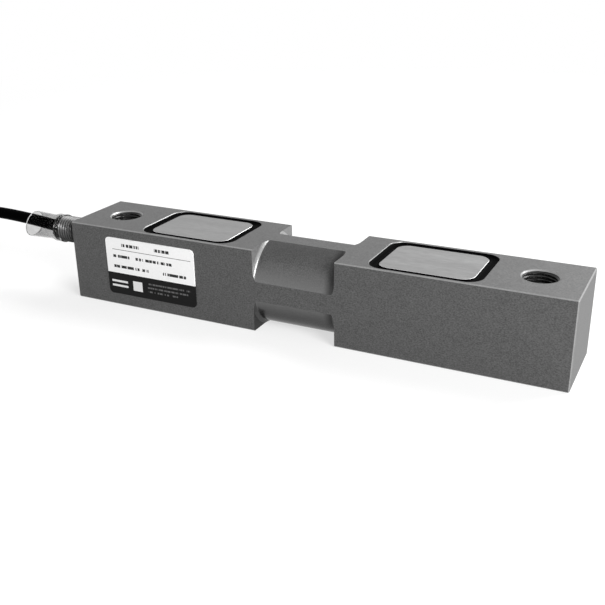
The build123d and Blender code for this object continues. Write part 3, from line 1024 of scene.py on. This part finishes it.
inked = row_print.math("LESS_THAN", dashes, given["Fill"])
row_print.join(row_print.math("MULTIPLY", in_box, inked), out["Mask"])

# %% Rows of print on the name plate
plate_low, plate_high = (Vector(corner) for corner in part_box("name_plate"))
plate_white, build, shader = new_material("plate_white")


def row_mask(left, right, above_foot, tall, dash=900.0, fill=0.5):
    """One row of print, in millimetres from the plate's lower left corner."""
    node = build.add("ShaderNodeGroup", node_tree=row_print.tree)
    node.inputs["Left"].default_value = plate_low.x + left * mm
    node.inputs["Right"].default_value = plate_low.x + right * mm
    node.inputs["Middle"].default_value = plate_low.z + above_foot * mm
    node.inputs["Tall"].default_value = tall * mm
    node.inputs["Dash Scale"].default_value = dash
    node.inputs["Fill"].default_value = fill
    return node.outputs["Mask"]


def either(masks):
    """Where any of several masks is set."""
    return reduce(lambda total, mask: build.math("MAXIMUM", total, mask), masks)


dark_rows = either([
    row_mask(8.0, 16.5, 21.6, 1.3, 1300.0, 0.56), row_mask(24.0, 31.0, 21.6, 1.3, 1300.0, 0.56),
    row_mask(3.2, 41.0, 19.5, 0.22, 900.0, 1.0),
    row_mask(3.4, 11.5, 16.6, 1.2, 1400.0, 0.56), row_mask(14.5, 32.0, 16.6, 1.2, 1400.0, 0.56),
    row_mask(3.4, 20.5, 12.2, 1.2, 1400.0, 0.56), row_mask(27.5, 38.5, 12.2, 1.2, 1400.0, 0.56),
])
pale_rows = either([
    row_mask(19.5, 40.0, 6.6, 0.7, 1500.0, 0.55), row_mask(19.5, 39.0, 4.9, 0.7, 1500.0, 0.55),
    row_mask(19.5, 34.0, 3.2, 0.7, 1500.0, 0.55),
])
white_blocks = either([
    row_mask(1.6, 9.6, 5.6, 0.9, 900.0, 1.0), row_mask(1.6, 9.6, 3.6, 0.9, 900.0, 1.0),
    row_mask(12.2, 16.8, 4.6, 4.2, 900.0, 1.0),
])
print("plate from", plate_low[:], "to", plate_high[:])

# %% Name plate material
band_height = 9.3 * mm
in_band = build.math("LESS_THAN", build.place_parts()["Z"], plate_low.z + band_height)
texture = grain_texture(build)
foil = ramp(build, texture.outputs["Shade"], grey(0.93), grey(1.0), *shade_range)
upper = mixed(build, dark_rows, foil, grey(0.03))
lower = mixed(build, pale_rows, grey(0.006), grey(0.12))
lower = mixed(build, white_blocks, lower, grey(0.8))
build.join(mixed(build, in_band, upper, lower), shader.inputs["Base Color"])
gloss = build.math("MULTIPLY_ADD", texture.outputs["Shade"], 0.1, 0.3)
build.join(gloss, shader.inputs["Roughness"])
shader.inputs["Specular IOR Level"].default_value = 0.1
print(plate_white.name, len(plate_white.node_tree.nodes), "nodes")

# %% [markdown]
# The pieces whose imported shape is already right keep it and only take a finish. A table from node
# to material is easier to read than forty lines that say the same thing.

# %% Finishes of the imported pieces
node_finishes = {
    "beam_body": beam_steel, "cover_plate": cover_steel, "seal_bead": seal_black,
    "strain_gauge": gauge_amber, "solder_terminal": terminal_tan,
    "gauge_coating": coating_silicone, "board_pillars": cover_steel,
    "trim_board": board_green, "trim_resistors": resistor_blue,
    "board_wires": core_paints["red"], "neck_wires": core_paints["red"],
    "web_wires": core_paints["black"], "cable_cores": core_paints["green"],
    "threaded_spigot": thread_steel, "cable_seal": seal_black, "clear_sleeve": clear_tube,
    "name_plate": plate_white, "cable": jacket_black, "coil_ties": nylon_black,
    "tail_cores": core_paints["red"],
}
for name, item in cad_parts.items():
    family = max((key for key in node_finishes if name.startswith(key)), key=len)
    for number in range(len(item.material_slots)):
        item.material_slots[number].material = node_finishes[family]
print("finished nodes", len(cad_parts))

# %% [markdown]
# Every piece is tied to the imported body, and the ones that stand for a imported node hide it.
# The cable is one cord for three nodes, and the bare cores go with it.

# %% Ride on the frame
def settle(item, slot, *nodes):
    """Fix a piece to the part's one body and hide the nodes it stands for; its slot is not used."""
    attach(item, "root")
    if nodes:
        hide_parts(*nodes)


settle(beam, "beam_steel", "beam_body")
for piece in hole_threads:
    settle(piece, "beam_steel")
settle(spigot, "spigot_steel", "threaded_spigot")
for place, bead in beads.items():
    settle(bead, "sealant", f"seal_bead_{place}")
settle(sleeve, "clear_tube", "clear_sleeve")
print("settled", beam.name, spigot.name, sleeve.name)

# %% The cable as a cord
paint(cable, jacket_black)
settle(cable, "cable_jacket", "cable_lead", "cable_coil", "cable_tail")
for colour, piece in core_pieces.items():
    paint(piece, core_paints[colour])
    settle(piece, "core_coat", "tail_cores")
for piece in copper_pieces:
    paint(piece, copper)
    settle(piece, "core_coat")
print("cord with", len(core_pieces) + len(copper_pieces), "pieces of core")

# %% [markdown]
# The photograph has a white ground and soft light from the right and above: the end face is the
# brightest, the top next, and the front is in half shade. Two broad lamps and a pale world do
# that. The floor is grey where light falls on it, so it throws little light back at the underside.
# To the camera, to reflections and through the clear sleeve it is lifted, and further out it is
# plain white.

# %% Floor
def background_rays(build):
    """Which rays meet the white ground: the camera's, and those off metal or through the sleeve."""
    path = build.add("ShaderNodeLightPath").outputs
    sent_on = build.math("MAXIMUM", path["Is Glossy Ray"], path["Is Transmission Ray"])
    return build.math("MAXIMUM", path["Is Camera Ray"], sent_on)


floor_radius = 4.0
fade_from = 0.3
fade_to = 0.7
floor_lift = 0.64
floor_grey = 0.32
floor_drop = 0.1 * mm
white = (1.0, 1.0, 1.0, 1.0)
work = bmesh.new()
bmesh.ops.create_circle(work, cap_ends=True, segments=96, radius=floor_radius)
floor = object_from(work, "floor")
floor.location.z = -floor_drop
floor_white, build, shader = new_material("floor_white")
shader.inputs["Base Color"].default_value = (*grey(floor_grey), 1.0)
shader.inputs["Roughness"].default_value = 0.9
shader.inputs["Specular IOR Level"].default_value = 0.1
floor_place = build.add("ShaderNodeTexCoord").outputs["Object"]
away = build.vector_math("LENGTH", floor_place, output="Value")
fade = build.add("ShaderNodeMapRange", {"Value": away, "From Min": fade_from, "From Max": fade_to})
to_background = background_rays(build)
seen = build.math("MULTIPLY", fade.outputs[0], to_background)
lift = build.math("MULTIPLY", to_background, floor_lift)
plain_white = build.add("ShaderNodeEmission", {"Color": white, "Strength": 1.0})
glow = build.add("ShaderNodeEmission", {"Color": white, "Strength": lift})
lit = build.add("ShaderNodeAddShader", {0: shader.outputs[0], 1: glow.outputs[0]})
blend = build.add("ShaderNodeMixShader", {0: seen, 1: lit.outputs[0], 2: plain_white.outputs[0]})
build.join(blend.outputs[0], floor_white.node_tree.nodes["Material Output"].inputs["Surface"])
paint(floor, floor_white)
print("floor ready")

# %% World and lamps
fill_strength = 0.38
world = bpy.data.worlds.new("studio")
world.use_nodes = True
scene.world = world
build = Tree(world.node_tree)
world.node_tree.nodes.clear()
fill_light = build.add("ShaderNodeBackground", {"Color": white, "Strength": fill_strength})
seen_light = build.add("ShaderNodeBackground", {"Color": white, "Strength": 1.0})
to_background = background_rays(build)
blend = build.add(
    "ShaderNodeMixShader", {0: to_background, 1: fill_light.outputs[0], 2: seen_light.outputs[0]}
)
build.add("ShaderNodeOutputWorld", {"Surface": blend.outputs[0]})


def lamp(name, place, aim, size, power):
    """A broad square lamp that shines at a point."""
    light = bpy.data.lights.new(name, "AREA")
    light.size = size
    light.energy = power
    away = Vector(place) - Vector(aim)
    turn = away.to_track_quat("Z", "Y").to_matrix().to_4x4()
    add_object(name, light).matrix_world = Matrix.Translation(place) @ turn


lamp("side_lamp", (0.61, -0.37, 0.33), aim=(0.0, 0.0, 0.01), size=0.35, power=8.2)
lamp("back_lamp", (0.45, 0.75, 0.85), aim=(0.0, 0.0, 0.0), size=0.8, power=18.0)
